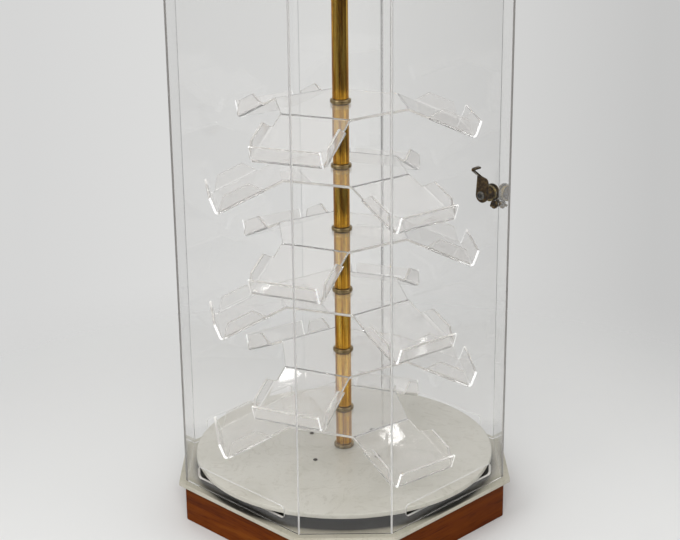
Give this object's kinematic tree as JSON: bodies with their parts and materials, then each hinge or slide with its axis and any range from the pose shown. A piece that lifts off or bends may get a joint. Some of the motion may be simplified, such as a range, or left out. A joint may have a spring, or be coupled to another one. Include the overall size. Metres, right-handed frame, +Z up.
{
  "type": "rotating display case",
  "caption": "Clear countertop display case with cut corners on a wooden base: tiers of bent trays on a brass pole turn on a disc inside, behind a hinged locking door.",
  "frame": {"origin": "middle of the footprint, on the surface the skirt stands on", "axes": "+Z up along the pole; +Y out of the door, so -Y and +X are the two walls the picture shows at the front"},
  "size_m": [0.301, 0.301, 0.5899],
  "materials": {
    "clear_acrylic": "clear polished acrylic sheet",
    "white_laminate": "off-white laminate, semi-gloss",
    "walnut": "red-brown stained wood, satin varnish",
    "brass": "polished brass tube",
    "aged_brass": "darkened brass",
    "zinc_steel": "zinc-plated steel",
    "nylon": "natural nylon"
  },
  "bodies": {
    "case": {"base_plate": "white_laminate", "skirt_right": "walnut", "skirt_corner_back_right": "walnut", "skirt_back": "walnut", "skirt_corner_back_left": "walnut", "skirt_left": "walnut", "skirt_corner_front_left": "walnut", "skirt_front": "walnut", "skirt_corner_front_right": "walnut", "bearing_lower_race": "zinc_steel", "bearing_ball_cage": "zinc_steel", "wall_right": "clear_acrylic", "wall_corner_back_right": "clear_acrylic", "wall_corner_back_left": "clear_acrylic", "wall_left": "clear_acrylic", "wall_corner_front_left": "clear_acrylic", "wall_front": "clear_acrylic", "wall_corner_front_right": "clear_acrylic", "top_sheet": "clear_acrylic", "top_bush": "nylon", "hinge_leaf_wall": "clear_acrylic", "hinge_pin": "zinc_steel"},
    "turntable": {"bearing_upper_race": "zinc_steel", "turntable_disc": "white_laminate", "disc_screw_1": "zinc_steel", "disc_screw_2": "zinc_steel", "disc_screw_3": "zinc_steel", "disc_screw_4": "zinc_steel", "pole_rod": "zinc_steel", "rod_nut": "zinc_steel", "pole_foot_ring": "aged_brass", "pole_ring_1": "aged_brass", "pole_ring_2": "aged_brass", "pole_ring_3": "aged_brass", "pole_ring_4": "aged_brass", "pole_ring_5": "aged_brass", "pole_ring_6": "aged_brass", "pole_tube_1": "brass", "pole_tube_2": "brass", "pole_tube_3": "brass", "pole_tube_4": "brass", "pole_tube_5": "brass", "pole_tube_6": "brass", "pole_tube_top": "brass", "tray_tier_1": "clear_acrylic", "tray_tier_2": "clear_acrylic", "tray_tier_3": "clear_acrylic", "tray_tier_4": "clear_acrylic", "tray_tier_5": "clear_acrylic", "tray_tier_6": "clear_acrylic"},
    "door": {"door_panel": "clear_acrylic", "hinge_leaf_door": "clear_acrylic", "lock_barrel": "aged_brass", "lock_nut": "aged_brass", "door_knob": "aged_brass"},
    "lock_cam": {"lock_plug": "zinc_steel", "lock_cam": "aged_brass", "cam_screw": "aged_brass"}
  },
  "joints": [
    {"name": "turntable_spin", "type": "hinge", "parent": "case", "child": "turntable", "pos_m": [0, 0, 0.0433], "axis": [0, 0, 1], "continuous": true},
    {"name": "door_swing", "type": "hinge", "parent": "case", "child": "door", "pos_m": [-0.08277, 0.14657, 0.0436], "axis": [0, 0, 1], "range_deg": [0, 110]},
    {"name": "lock_turn", "type": "hinge", "parent": "door", "child": "lock_cam", "pos_m": [0.06988, 0.1438, 0.3138], "axis": [0, 1, 0], "range_deg": [0, 50]}
  ]
}
